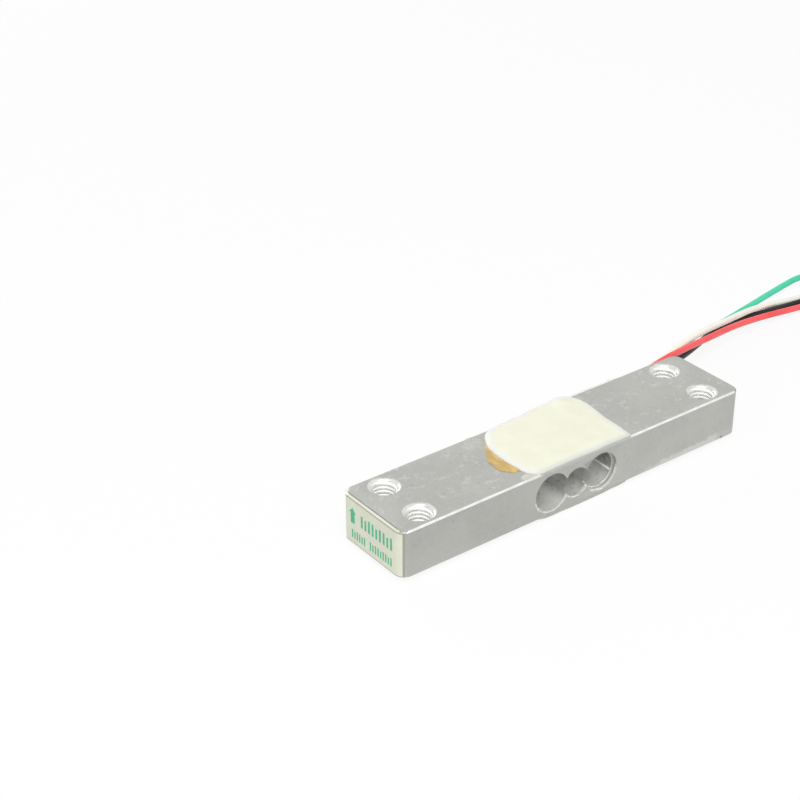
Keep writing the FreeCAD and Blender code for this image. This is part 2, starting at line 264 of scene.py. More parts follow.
def painted_lip_highlights(paint, grey):
    """Painted highlights: bright, broken lower lips round the mouths of the window."""
    broken = paint.between(paint.noise(1.0, detail=2), 0.40, 0.56, 0.25, 1.0)
    side = paint.between(paint.facing("Y"), 0.9, 0.99)
    low = paint.span("Z", BAR_MIDDLE_Z - 1.6, BAR_MIDDLE_Z - 0.4, 1.0, 0.0)
    for x, radius in MOUTHS:
        ring = paint.between(paint.from_axis(x, BAR_MIDDLE_Z), radius + 0.2, radius + 0.4, 1.0, 0.0)
        # a painted highlight along the lower lip of this mouth
        grey = paint.mix(paint.product(ring, broken, side, low), grey, (0.80, 0.805, 0.76))
    return grey


def bar_skin():
    """The tumbled outer faces of the bar, with the marks of cutting and use, and painted highlights on
    the end chamfers and on the lower lips of the window.
    """
    paint = Finish("bar_skin", metallic=1.0)
    cloud = paint.noise(7.0, detail=3)
    grey = paint.mix(paint.between(cloud, 0.35, 0.65), (0.45, 0.453, 0.425), (0.49, 0.491, 0.463))
    flat = paint.between(paint.facing("Z"), 0.9, 0.99)
    grey = scuffed(paint, grey, flat)
    # a painted highlight: the broken edges at the ends are lightened to a pale cream
    chamfer_highlight = paint.calc("SUBTRACT", paint.between(paint.facing("Z"), 0.5, 0.6), flat)
    grey = paint.mix(paint.product(chamfer_highlight, 0.85), grey, (0.76, 0.77, 0.68))
    # a dark burr along the edge over the label
    label_edge = BAR_LOW.x + EDGE_BREAK
    burr = paint.span("X", label_edge + 0.1, label_edge + 0.3, 0.8, 0.0)
    grey = paint.mix(paint.product(burr, flat), grey, (0.16, 0.16, 0.12))
    grey = painted_lip_highlights(paint, worn_near_side(paint, grey))
    paint.set(base_color=grey, roughness=paint.between(cloud, 0.3, 0.7, 0.40, 0.46))
    paint.bump(paint.noise(0.3, detail=3), 0.004, 0.5)
    return paint.material


def cut_metal():
    """The bright broken edges of the bar."""
    paint = Finish("cut_metal", metallic=1.0)
    cloud = paint.noise(1.2, detail=3, stretch=(1, 3, 1))
    bright = paint.mix(paint.between(cloud, 0.35, 0.7), (0.82, 0.82, 0.80), (0.92, 0.92, 0.90))
    paint.set(base_color=bright, roughness=paint.between(cloud, 0.3, 0.7, 0.26, 0.36))
    paint.bump(paint.noise(0.3, detail=2), 0.003, 0.4)
    return paint.material


def bore_metal():
    """The grey reamed walls of the window: painted light makes them pale low down, painted shade makes
    them darker high up, and painted highlights make them bright at the mouths.
    """
    paint = Finish("bore_metal", metallic=0.6)
    cloud = paint.noise(0.9, detail=4, rough=0.6)
    grey = paint.mix(paint.between(cloud, 0.35, 0.65), (0.36, 0.36, 0.35), (0.46, 0.46, 0.445))
    # painted light: the lower walls are paled towards the bottom
    low = paint.span("Z", BAR_MIDDLE_Z - LEAD_BORE_R, BAR_MIDDLE_Z - 0.6, 0.95, 0.0)
    grey = paint.mix(low, grey, (0.96, 0.96, 0.92))
    from_middle = paint.calc("ABSOLUTE", paint.along("Y"))
    # painted shade: a dark line in the corner where the lead-side bore steps out to its mouth
    opened = paint.product(paint.between(from_middle, MOUTH_Y - 0.05, MOUTH_Y + 0.05),
                           paint.span("X", 1.3, 1.6, 0.0, 0.8))
    grey = paint.mix(opened, grey, (0.33, 0.33, 0.31))
    # painted shade: the walls are darkened towards the top
    high = paint.span("Z", BAR_MIDDLE_Z - 0.5, BAR_MIDDLE_Z + 1.5, 0.0, 0.35)
    grey = paint.mix(high, grey, (0.24, 0.24, 0.23))
    fleck = paint.between(paint.noise(0.45, detail=3, rough=0.6), 0.55, 0.68, 0.0, 0.45)
    grey = paint.mix(fleck, grey, (0.74, 0.74, 0.71))
    pit = paint.between(paint.noise(0.8, detail=3, rough=0.6), 0.54, 0.7, 0.0, 0.35)
    grey = paint.mix(pit, grey, (0.20, 0.20, 0.19))
    # painted highlight: a bright band low inside each mouth
    mouth = paint.product(paint.between(from_middle, SIDE_Y - 0.45, SIDE_Y - 0.3),
                          paint.span("Z", BAR_MIDDLE_Z - 0.8, BAR_MIDDLE_Z + 0.8, 1.0, 0.0))
    paint.set(base_color=paint.mix(mouth, grey, (0.95, 0.95, 0.93)),
              roughness=paint.between(cloud, 0.3, 0.7, 0.36, 0.5))
    paint.bump(paint.noise(0.25, detail=2), 0.006, 0.4)
    return paint.material


def cone_metal():
    """The fresh countersinks of the tapped holes."""
    paint = Finish("cone_metal", metallic=0.7)
    cloud = paint.noise(0.8, detail=3)
    bright = paint.mix(paint.between(cloud, 0.35, 0.65), (0.66, 0.66, 0.64), (0.74, 0.74, 0.72))
    paint.set(base_color=bright, roughness=paint.between(cloud, 0.3, 0.7, 0.34, 0.42))
    paint.bump(paint.noise(0.2, detail=2), 0.004, 0.4)
    return paint.material


def thread_metal():
    """Fresh threads, lower rims of the window and the tool mark, which are matt and nearly white; on the
    rims and the mark this whiteness is a painted highlight.
    """
    paint = Finish("thread_metal", metallic=0.1)
    cloud = paint.noise(0.8, detail=3)
    bright = paint.mix(paint.between(cloud, 0.35, 0.65), (0.93, 0.93, 0.91), (0.98, 0.975, 0.96))
    paint.set(base_color=bright, roughness=paint.between(cloud, 0.3, 0.7, 0.4, 0.5))
    paint.bump(paint.noise(0.2, detail=2), 0.003, 0.4)
    return paint.material


def silicone():
    """Ivory silicone, paler and cooler at its thin edge, and grey along the near edge of the bar: partly
    the metal through the thin film there, partly painted shade, darkest at the very edge.
    """
    paint = Finish("silicone", subsurface_weight=0.7, subsurface_scale=0.9 * MM, ior=1.41)
    paint.surface.inputs["Subsurface Radius"].default_value = (1.0, 0.9, 0.6)
    cloud = paint.noise(5.0, detail=2)
    ivory = paint.mix(paint.between(cloud, 0.3, 0.7), (0.88, 0.88, 0.72), (0.84, 0.84, 0.69))
    colour = paint.mix(paint.attribute("thin"), ivory, (0.83, 0.833, 0.785))
    # grey along the near side: partly the metal through the thin film, partly painted shade
    film = paint.span("Y", -SIDE_Y - 0.05, -SIDE_Y + 1.35, 0.8, 0.0)
    colour = paint.mix(film, colour, (0.60, 0.615, 0.555))
    # painted shade at the very near edge
    near_edge_shade = paint.span("Y", -SIDE_Y + 0.1, -SIDE_Y + 0.35, 0.9, 0.0)
    colour = paint.mix(near_edge_shade, colour, (0.44, 0.45, 0.41))
    speck = paint.between(paint.noise(0.5, detail=1), 0.74, 0.80)
    colour = paint.mix(paint.product(speck, 0.35), colour, (0.55, 0.50, 0.36))
    paint.set(base_color=colour, roughness=paint.between(cloud, 0.3, 0.7, 0.38, 0.5))
    paint.bump(paint.noise(1.4, detail=2), 0.03, 0.5)
    return paint.material


def smear():
    """The thinnest film of silicone, which the metal shows through."""
    paint = Finish("silicone_smear", base_color=(0.84, 0.84, 0.76), roughness=0.5, ior=1.41)
    cover = paint.between(paint.noise(2.5, detail=2), 0.3, 0.7, 0.38, 0.55)
    paint.set(alpha=paint.product(cover, paint.span("Y", -6.0, 4.0, 1.35, 0.7)))
    return paint.material


def amber_film():
    """Polyimide film with darker streaks across the bar."""
    paint = Finish("amber_film", ior=1.6, coat_weight=0.3, coat_roughness=0.2)
    streak = paint.noise(0.9, detail=3, stretch=(1, 3.5, 1))
    amber = paint.mix(paint.between(streak, 0.3, 0.7), (0.50, 0.33, 0.085), (0.76, 0.50, 0.14))
    paint.set(base_color=amber, roughness=paint.between(streak, 0.3, 0.7, 0.3, 0.4))
    paint.bump(streak, 0.01, 0.4)
    return paint.material


def paper():
    """Coated label paper, a little yellowed, with painted shade as dark lines along two edges and as an
    olive band along its top.
    """
    paint = Finish("label_paper", ior=1.45)
    cloud = paint.noise(3.0, detail=3)
    cream = paint.mix(paint.between(cloud, 0.35, 0.65), (0.67, 0.685, 0.56), (0.705, 0.715, 0.585))
    # painted shade: dark lines along the bottom edge and the near edge
    edges = (paint.span(axis, low + 0.05, low + 0.25, 0.7, 0.0)
             for axis, low in (("Z", LABEL_LOW.z), ("Y", LABEL_LOW.y)))
    cream = paint.mix(paint.calc("MAXIMUM", *edges), cream, (0.16, 0.16, 0.12))
    # painted shade: an olive band along the top, below the edge of the bar
    olive = paint.span("Z", LABEL_HIGH.z - 0.3, LABEL_HIGH.z - 0.12, 0.0, 0.75)
    cream = paint.mix(olive, cream, (0.30, 0.31, 0.20))
    paint.set(base_color=cream, roughness=paint.between(cloud, 0.3, 0.7, 0.5, 0.62))
    paint.bump(paint.noise(0.25, detail=3), 0.006, 0.5)
    return paint.material


def green_print():
    """Green ink that is a little worn."""
    paint = Finish("green_print", roughness=0.5)
    worn = paint.between(paint.noise(0.35, detail=3), 0.5, 0.75)
    paint.set(base_color=paint.mix(worn, (0.05, 0.43, 0.23), (0.16, 0.56, 0.36)))
    return paint.material


def insulation(name, colour, deep, ior=1.5):
    """Smooth PVC with a faint grain along the wire."""
    paint = Finish(name, ior=ior)
    cloud = paint.noise(2.2, detail=3, stretch=(3, 1, 1))
    paint.set(base_color=paint.mix(paint.between(cloud, 0.35, 0.7), colour, deep),
              roughness=paint.between(cloud, 0.3, 0.7, 0.3, 0.42))
    paint.bump(paint.noise(0.5, detail=2, stretch=(4, 1, 1)), 0.003, 0.4)
    return paint.material


def bright_metal(name, colour, deep, roughness):
    """Small metal pieces: solder, tinned copper, enamelled copper and foil."""
    paint = Finish(name, metallic=1.0)
    cloud = paint.noise(0.4, detail=3)
    paint.set(base_color=paint.mix(paint.between(cloud, 0.35, 0.65), colour, deep),
              roughness=paint.between(cloud, 0.3, 0.7, roughness, roughness + 0.12))
    paint.bump(paint.noise(0.15, detail=2), 0.005, 0.5)
    return paint.material


def board_mask():
    """Green solder mask over woven glass."""
    paint = Finish("board_mask", ior=1.5)
    weave = paint.product(*(paint.bands(0.5, axis, 0.3) for axis in "XZ"))
    paint.set(base_color=paint.mix(weave, (0.02, 0.16, 0.06), (0.04, 0.26, 0.10)), roughness=0.35)
    paint.bump(weave, 0.01, 0.4)
    return paint.material


PVC = {
    "red": insulation("red_pvc", (0.95, 0.095, 0.10), (0.88, 0.07, 0.075)),
    "black": insulation("black_pvc", (0.014, 0.012, 0.012), (0.024, 0.021, 0.021), ior=1.33),
    "white": insulation("white_pvc", (0.95, 0.95, 0.85), (0.92, 0.92, 0.81)),
    "green": insulation("green_pvc", (0.07, 0.68, 0.44), (0.055, 0.60, 0.37)),
}
BAR_METALS = (bar_skin(), cut_metal(), bore_metal(), cone_metal(), thread_metal())
SILICONE = silicone()
SMEAR = smear()
TIN = bright_metal("tinned_copper", (0.72, 0.66, 0.58), (0.80, 0.77, 0.72), 0.28)
CARRIED_OVER = {
    "top_gauge_film": amber_film(),
    "top_gauge_foils": bright_metal("foil", (0.58, 0.54, 0.48), (0.66, 0.62, 0.56), 0.25),
    "terminal_board": board_mask(),
    "link_wires": bright_metal("enamelled_copper", (0.60, 0.24, 0.10), (0.72, 0.34, 0.16), 0.3),
    "solder_joints": bright_metal("solder", (0.66, 0.66, 0.66), (0.78, 0.78, 0.78), 0.22),
    "end_label": paper(),
}
CARRIED_OVER["bottom_gauge_film"] = CARRIED_OVER["top_gauge_film"]
CARRIED_OVER["bottom_gauge_foils"] = CARRIED_OVER["top_gauge_foils"]

for name, material in CARRIED_OVER.items():
    nodes[name].data.materials.clear()
    nodes[name].data.materials.append(material)


def new_piece(name, mesh, materials, replaced=()):
    """A piece of the visual model, which rides on the load cell."""
    piece = bpy.data.objects.new(name, mesh)
    bpy.context.collection.objects.link(piece)
    for material in materials:
        mesh.materials.append(material)
    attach(piece, "root")
    if replaced:
        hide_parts(*replaced)
    return piece


def evaluated(mesh, modifiers):
    """A mesh with modifiers applied: each is a kind and its settings."""
    scratch = bpy.data.objects.new("scratch", mesh)
    bpy.context.collection.objects.link(scratch)
    for kind, settings in modifiers:
        modifier = scratch.modifiers.new(kind.lower(), kind)
        for key, value in settings.items():
            setattr(modifier, key, value)
    graph = bpy.context.evaluated_depsgraph_get()
    result = bpy.data.meshes.new_from_object(scratch.evaluated_get(graph))
    bpy.data.objects.remove(scratch)
    return result


def shape_mesh(name, points, faces):
    """A mesh from points in millimetres."""
    mesh = bpy.data.meshes.new(name)
    mesh.from_pydata([tuple(c * MM for c in point) for point in points], [], faces)
    return mesh


def round_angles(count):
    """Angles spread evenly round one turn."""
    return [2 * math.pi * k / count for k in range(count)]


def tube_faces(spans, flats):
    """Sides and both ends of a tube whose points come ring after ring, with one ring more than spans."""
    faces = [tuple(reversed(range(flats))), tuple(range(spans * flats, (spans + 1) * flats))]
    for start in range(0, spans * flats, flats):
        for k in range(flats):
            a, b = start + k, start + (k + 1) % flats
            faces.append((a, b, b + flats, a + flats))
    return faces


def merged(parts, name):
    """One mesh from several lists of points and faces."""
    points, faces = [], []
    for more_points, more_faces in parts:
        faces += [tuple(k + len(points) for k in face) for face in more_faces]
        points += more_points
    return shape_mesh(name, points, faces)


def recalculated(mesh, weld=0.0):
    """The mesh with its doubles welded and its faces turned outwards."""
    work = bmesh.new()
    work.from_mesh(mesh)
    if weld:
        bmesh.ops.remove_doubles(work, verts=work.verts, dist=weld)
    bmesh.ops.recalc_face_normals(work, faces=work.faces)
    work.to_mesh(mesh)
    work.free()
    return mesh


# ---------------------------------------------------------------- the bar and its threads

THREAD_PITCH = 0.8
THREAD_MAJOR_R = 2.5
THREAD_ROOT_FLAT = 0.1
THREAD_STEPS = 48  # flats in one turn
THREAD_INSIDE_R = 1.95  # the cutter starts this far out, in the open hole
HOLE_X, HOLE_Y = 33.5, 5.0
# the line that the cutter left along the lead-side bore: its turn at both ends, half width and height
MARK_ANGLES = (math.radians(-23.4), math.radians(-13.3))
MARK_HALF, MARK_TALL = 0.26, 0.24
MARK_SUNK = 0.1  # its foot lies this deep in the wall
MARK_CREST = 0.4  # its crest is this share of its foot's width


def thread_cutter(x, y):
    """Points and faces of a helical V that runs through one hole past both faces of the bar."""
    slope = math.tan(math.radians(30))
    half_in = THREAD_ROOT_FLAT / 2 + (THREAD_MAJOR_R - THREAD_INSIDE_R) * slope
    section = [(THREAD_INSIDE_R, -half_in), (THREAD_MAJOR_R, -THREAD_ROOT_FLAT / 2),
               (THREAD_MAJOR_R, THREAD_ROOT_FLAT / 2), (THREAD_INSIDE_R, half_in)]
    start_z = BAR_LOW.z - THREAD_PITCH
    turns = (BAR_TOP - BAR_LOW.z + 2 * THREAD_PITCH) / THREAD_PITCH
    count = int(turns * THREAD_STEPS)
    points = []
    for i in range(count + 1):
        angle = 2 * math.pi * i / THREAD_STEPS
        level = start_z + THREAD_PITCH * i / THREAD_STEPS
        points += [(x + r * math.cos(angle), y + r * math.sin(angle), level + dz) for r, dz in section]
    return points, tube_faces(count, len(section))


def tool_mark():
    """Points and faces of the raised line that the cutter left along the lead-side bore."""
    section = ((-MARK_SUNK, -1), (-MARK_SUNK, 1), (MARK_TALL, MARK_CREST), (MARK_TALL, -MARK_CREST))
    points = []
    for y, angle in zip((-MOUTH_Y, MOUTH_Y), MARK_ANGLES):
        centre = Vector((LEAD_BORE_X, y, BAR_MIDDLE_Z))
        out = Vector((math.cos(angle), 0, math.sin(angle)))
        side = Vector((-out.z, 0, out.x))
        points += [tuple(centre + out * (LEAD_BORE_R - inwards) + side * aside * MARK_HALF)
                   for inwards, aside in section]
    return points, tube_faces(1, len(section))


SKIN, EDGE, BORE, CONE, THREAD = range(5)  # places of the bar's finishes in BAR_METALS
SKIN_DEPTH = 0.02  # faces this near the outside of the bar belong to its skin
CORNER_R = 2.0
SHARP_DEGREES = 24  # edges that turn more than this are shaded as sharp
HOLE_REACH = 3.2  # faces this near the middle of a tapped hole belong to it
RIM_REACH = 9.5  # how far from the middle the window's rims have their own finish
RIM_CLEAR = 0.5  # and how far from the top and the underside


def metal_of(spot, normal):
    """Which finish a face of the bar has, from its place in millimetres and its normal."""
    x, y, z = abs(spot.x), abs(spot.y), spot.z
    on_outside = min(BAR_HIGH.x - x, SIDE_Y - y, BAR_TOP - z, z - BAR_LOW.z) < SKIN_DEPTH
    on_corner = BAR_HIGH.x - x < CORNER_R and SIDE_Y - y < CORNER_R and abs(normal.z) < 0.1
    if on_outside or on_corner:
        return SKIN
    if math.hypot(x - HOLE_X, y - HOLE_Y) < HOLE_REACH:
        return CONE if 0.65 < abs(normal.z) < 0.75 else THREAD  # a countersink stands at 45 degrees
    if abs(normal.y) > 0.9:
        return THREAD if abs(y - MOUTH_Y) < 0.1 else SKIN  # the step inside a mouth is bright
    if BAR_HIGH.x - x < EDGE_BREAK + SKIN_DEPTH:
        return SKIN
    if SIDE_Y - y > EDGE_BREAK:
        return BORE
    # the lower rims get the nearly white finish as a painted highlight, the upper rims the bore's finish
    if x < RIM_REACH and BAR_LOW.z + RIM_CLEAR < z < BAR_TOP - RIM_CLEAR:
        return THREAD if z < BAR_MIDDLE_Z - RIM_CLEAR else BORE
    return EDGE


def make_bar():
    """The bar with its threads cut, its outer faces tumbled and its cut faces bright."""
    cutters = recalculated(merged([thread_cutter(x, y) for x in (-HOLE_X, HOLE_X)
                                   for y in (-HOLE_Y, HOLE_Y)], "thread_cutters"))
    tool = bpy.data.objects.new("thread_cutters", cutters)
    bpy.context.collection.objects.link(tool)
    solid = recalculated(nodes["sensing_beam"].data.copy(), weld=WELD)
    solid.materials.clear()
    mesh = evaluated(solid, [("BOOLEAN", {"operation": "DIFFERENCE", "solver": "EXACT", "object": tool})])
    bpy.data.objects.remove(tool)
    work = bmesh.new()
    work.from_mesh(mesh)
    for face in work.faces:
        face.material_index = metal_of(face.calc_center_median() / MM, face.normal)
    cut = len(work.faces)
    # the tool mark gets the nearly white finish as a painted highlight
    work.from_mesh(recalculated(merged([tool_mark()], "tool_mark")))
    work.faces.ensure_lookup_table()
    for face in work.faces[cut:]:
        face.material_index = THREAD
    work.to_mesh(mesh)
    work.free()
    mesh.shade_smooth()
    mesh.set_sharp_from_angle(angle=math.radians(SHARP_DEGREES))
    bar = new_piece("threaded_bar", mesh, BAR_METALS, ("sensing_beam",))
    bar.modifiers.new("normals", "WEIGHTED_NORMAL").keep_sharp = True


# ---------------------------------------------------------------- silicone

VOXEL = 0.15  # the silicone is moulded in cells of this size
COAT_OUTLINE = [  # the freehand edge of the silicone over the upper gauges
    (-9.0, 7.5), (-10.7, 5.1), (-11.4, 3.4), (-11.85, 0.7), (-11.85, -2.6), (-11.5, -5.8),
    (-10.9, -7.3), (-10.0, -8.5), (-8.6, -8.92), (-1.2, -8.92), (6.5, -8.92), (11.4, -8.92),
    (12.2, -8.4), (12.35, -7.6), (12.5, -1.8), (13.0, 2.2), (13.1, 5.1), (12.3, 7.8),
    (10.8, 9.1), (6.0, 9.3), (0.0, 8.75), (-6.4, 8.4),
]
COAT_TALL = 0.98
COAT_FALL_X, COAT_FALL_Y = 520, 260  # the crown falls by the square of the distance over these
COAT_TILT = 0.012  # it rises by this share of y
COAT_SUNK = 0.4  # the silicone's hidden underside lies this deep in the bar
SEAT_NEAR, SEAT_CLEAR = 0.05, 0.4  # its seat is this near a face of the bar, and this far from the edges
COAT_RINGS = 26
RING_CROWDING = 1.6  # the rings lie closer together towards the rim
CROWN_X = (-5, 6)  # the crown's rings close up on the line between these
RIM = 2.4  # how wide the rounded rim is at the near side and the label's end
FAR_RIM_LESS, LEAD_RIM_LESS = 1.3, 0.5  # how much narrower it is at the far side and the lead end
THIN_RIM, LOWER_THIN_RIM = 2.4, 0.75  # how far in the silicone looks thin
OUTLINE_STEPS, ROUGH_OUTLINE_STEPS = 14, 4
# the lump where the silicone was drawn over the edge
LUMP_X, LUMP_Y, LUMP_TALL, LUMP_R, LUMP_SQUASH = 8.7, 7.6, 0.50, 2.1, 1.3
UPPER_WOBBLE, LOWER_WOBBLE, WOBBLE_SIZE = 0.07, 0.05, 3.2
FLOOR_GAP = 0.02  # no silicone lies lower
# how far the silicone creeps along each wire, from this far inside the lobe, and how thick it is there
COLLAR_REACH = {"red": 2.2, "white": 0.9, "black": 0.7, "green": 2.8}
COLLAR_START = 2.5
COLLAR_FLARE, COLLAR_FILM = 0.55, 0.04
COLLAR_RINGS, COLLAR_FLATS = 10, 20


def closed_curve(places, steps):
    """A smooth closed line through the places, as an array."""
    points = np.array(places)
    t = (np.arange(steps) / steps)[:, None]
    line = []
    for i in range(len(points)):
        p0, p1, p2, p3 = (points[(i + k) % len(points)] for k in (-1, 0, 1, 2))
        line.append(0.5 * (2 * p1 + (p2 - p0) * t + (2 * p0 - 5 * p1 + 4 * p2 - p3) * t ** 2
                           + (3 * p1 - p0 - 3 * p2 + p3) * t ** 3))
    return np.concatenate(line)


def edge_distance(places, line):
    """How far each place is from the nearest point of a closed line."""
    start, end = line, np.roll(line, -1, axis=0)
    run = end - start
    share = ((places[:, None] - start) * run).sum(2) / (run ** 2).sum(1)
    nearest = start + np.clip(share, 0, 1)[..., None] * run
    return np.linalg.norm(places[:, None] - nearest, axis=2).min(1)


def coat_heights(places, line):
    """Thickness of the silicone over the upper gauges at each place."""
    x, y = places.T
    crown = COAT_TALL - x ** 2 / COAT_FALL_X - y ** 2 / COAT_FALL_Y + COAT_TILT * y
    rim = RIM - FAR_RIM_LESS * ramp(y, -2, 7) - LEAD_RIM_LESS * ramp(x, 6, 12)
    t = np.clip(edge_distance(places, line) / rim, 0, 1)
    lump = LUMP_TALL * np.exp(-((x - LUMP_X) ** 2 + LUMP_SQUASH * (y - LUMP_Y) ** 2) / LUMP_R ** 2)
    near = ramp(-y, 5, 7.5)  # it tapers to a film where it meets the near edge
    taper = (1 - near) * np.sqrt(1 - (1 - t) ** 2) + near * t * (2 - t)
    fall = np.maximum(-y - (SIDE_Y - EDGE_BREAK), 0)  # it follows the bar over its broken edge
    return (crown + lump) * taper - fall


def coat_parts():
    """Points and faces of the silicone over the upper gauges, from its foot in the bar to its crown."""
    line = closed_curve(COAT_OUTLINE, OUTLINE_STEPS)
    middle = np.stack([np.clip(line[:, 0], *CROWN_X), np.zeros(len(line))], 1)
    points = [(x, y, BAR_TOP - COAT_SUNK) for x, y in line]
    for ring in range(COAT_RINGS + 1):
        places = middle + (line - middle) * (1 - (ring / COAT_RINGS) ** RING_CROWDING)
        heights = coat_heights(places, line)
        points += [(x, y, BAR_TOP + height) for (x, y), height in zip(places, heights)]
    return points, tube_faces(COAT_RINGS + 1, len(line))


def collar_parts(colour):
    """Points and faces of the silicone that creeps along one wire where it leaves the lobe."""
    first, second, third = (np.array(place) for place in wire_points(colour)[:3])
    t = np.linspace(0, 1, 40)[:, None]
    # the first arc of the wire's spline
    line = (1 - t) ** 2 * first + 2 * t * (1 - t) * second + t ** 2 * (second + third) / 2
    points = []
    for ring in range(COLLAR_RINGS + 1):
        share = ring / COLLAR_RINGS
        radius = WIRE_R + COLLAR_FLARE * (1 - share) ** 1.5 + COLLAR_FILM
        x = LEAD_EXIT_X - COLLAR_START + (COLLAR_START + COLLAR_REACH[colour]) * share
        y, z = (float(np.interp(x, line[:, 0], line[:, axis])) for axis in (1, 2))
        points += [(x, y + radius * math.cos(a), z + radius * math.sin(a))
                   for a in round_angles(COLLAR_FLATS)]
    return points, tube_faces(COLLAR_RINGS, COLLAR_FLATS)


def node_parts(name, sink):
    """Points and faces of a CAD node, with its seat on the bar sunk a little into the bar."""
    mesh = recalculated(nodes[name].data.copy(), weld=WELD)
    points = [sink(*(vertex.co / MM)) for vertex in mesh.vertices]
    return points, [tuple(polygon.vertices) for polygon in mesh.polygons]


def into_side(x, y, z):
    """Moves a point on the side of the bar a little way into it."""
    on_side = abs(y - SIDE_Y) < SEAT_NEAR and BAR_LOW.z + SEAT_CLEAR < z < BAR_TOP - SEAT_CLEAR
    return (x, y - COAT_SUNK, z) if on_side else (x, y, z)


def into_underside(x, y, z):
    """Moves a point on the underside of the bar a little way into it."""
    return (x, y, z + COAT_SUNK) if abs(z - BAR_LOW.z) < SEAT_NEAR else (x, y, z)


def upper_depth(places):
    """How far places on the upper silicone are from its edge, as a share of its thin rim."""
    line = closed_curve(COAT_OUTLINE, ROUGH_OUTLINE_STEPS)
    depth = places[:, 1] - SIDE_Y  # on the lobe the thin rim is 1 mm
    top = places[:, 2] > BAR_TOP - 0.1
    depth[top] = np.maximum(depth[top], edge_distance(places[top, :2], line) / THIN_RIM)
    return depth


def lower_depth(places):
    """How deep places on the lower silicone hang below the bar, as a share of its thin rim."""
    return (BAR_LOW.z - places[:, 2]) / LOWER_THIN_RIM


def moulded(parts, name, wobble, depth_of):
    """The parts grown into one skin, smoothed, and made a little uneven as laid by hand."""
    mesh = evaluated(recalculated(merged(parts, name)), [
        ("REMESH", {"mode": "VOXEL", "voxel_size": VOXEL * MM, "use_smooth_shade": True}),
        ("SMOOTH", {"factor": 0.5, "iterations": 6}),
    ])
    places, normals = (np.empty(len(mesh.vertices) * 3, np.float32) for _ in range(2))
    mesh.vertices.foreach_get("co", places)
    mesh.vertices.foreach_get("normal", normals)
    places, normals = places.reshape(-1, 3), normals.reshape(-1, 3)
    lift = np.array([noise.noise(Vector(place) / (WOBBLE_SIZE * MM)) for place in places])
    places = places + normals * (lift * wobble * MM)[:, None]
    places[:, 2] = np.maximum(places[:, 2], FLOOR_GAP * MM)
    mesh.vertices.foreach_set("co", places.ravel().astype(np.float32))
    thin = mesh.attributes.new("thin", "FLOAT", "POINT")
    thin.data.foreach_set("value", (1 - ramp(depth_of(places / MM), 0, 1)).astype(np.float32))
    mesh.update()
    return mesh


def make_silicone():
    """The upper silicone with its lobe over the board, and the lower silicone."""
    collars = [collar_parts(colour) for colour in COIL_ORDER]
    upper = moulded([coat_parts(), node_parts("strain_relief", into_side)] + collars,
                    "upper_silicone", UPPER_WOBBLE, upper_depth)
    new_piece("upper_silicone", upper, (SILICONE,),
              ("top_gauge_sealant", "strain_relief"))
    lower = moulded([node_parts("bottom_gauge_sealant", into_underside)],
                    "lower_silicone", LOWER_WOBBLE, lower_depth)
    new_piece("lower_silicone", lower, (SILICONE,), ("bottom_gauge_sealant",))


# x, y, half length, half width and turn of the thin smears beside the silicone
SMEARS = ((-12.2, 7.0, 2.0, 1.7, 20), (-10.9, -7.9, 2.6, 1.4, 0), (13.3, 7.2, 1.0, 1.1, 0))
SMEAR_THICK, SMEAR_SUNK = 0.05, 0.02
SMEAR_OVER = 0.03  # a smear ends this far beyond the near side
SMEAR_RAGGED = 0.16  # how far its outline wanders, as a share of its size
SMEAR_RINGS, SMEAR_FLATS = 5, 28


def smear_parts(x, y, half_long, half_wide, turn):
    """Points and faces of one ragged oval film, which follows the bar over its broken edge."""
    c, s = math.cos(math.radians(turn)), math.sin(math.radians(turn))
    points = []
    for ring in range(SMEAR_RINGS + 1):
        share = 1 - ring / (SMEAR_RINGS + 0.5)
        height = (SMEAR_THICK + SMEAR_SUNK) * math.sqrt(1 - share ** 2) - SMEAR_SUNK
        for angle in round_angles(SMEAR_FLATS):
            wander = noise.noise((3 * math.cos(angle) + x, 3 * math.sin(angle), y))
            reach = share * (1 + SMEAR_RAGGED * wander)
            along, across = half_long * math.cos(angle) * reach, half_wide * math.sin(angle) * reach
            spot_y = max(y + along * s + across * c, -SIDE_Y - SMEAR_OVER)
            fall = max(0, -spot_y - (SIDE_Y - EDGE_BREAK))
            points.append((x + along * c - across * s, spot_y, BAR_TOP - fall + height))
    return points, tube_faces(SMEAR_RINGS, SMEAR_FLATS)


def make_smears():
    """Thin films of silicone that were wiped over the metal beside the coat."""
    mesh = recalculated(merged([smear_parts(*numbers) for numbers in SMEARS], "silicone_smears"))
    mesh.shade_smooth()
    new_piece("silicone_smears", mesh, (SMEAR,))


# ---------------------------------------------------------------- the label's print

PRINT_THICK, PRINT_SUNK = 0.015, 0.02
# y and z of the arrow's corners
ARROW = [(5.24, 8.5), (4.28, 7.4), (4.66, 7.4), (4.66, 5.3), (5.82, 5.3), (5.82, 7.4), (6.2, 7.4)]
# y of both ends and z of both ends of the rows of bars, and how many bars each has
BAR_ROWS = ((3.1, -6.3, 5.6, 8.05, 9), (5.7, 1.5, 2.35, 4.05, 6), (0.5, -6.1, 2.35, 4.05, 9))
BAR_SHARE = 0.5  # how wide a bar is, as a share of the spacing
BAR_DIP = 0.15  # every third bar is shorter by this share


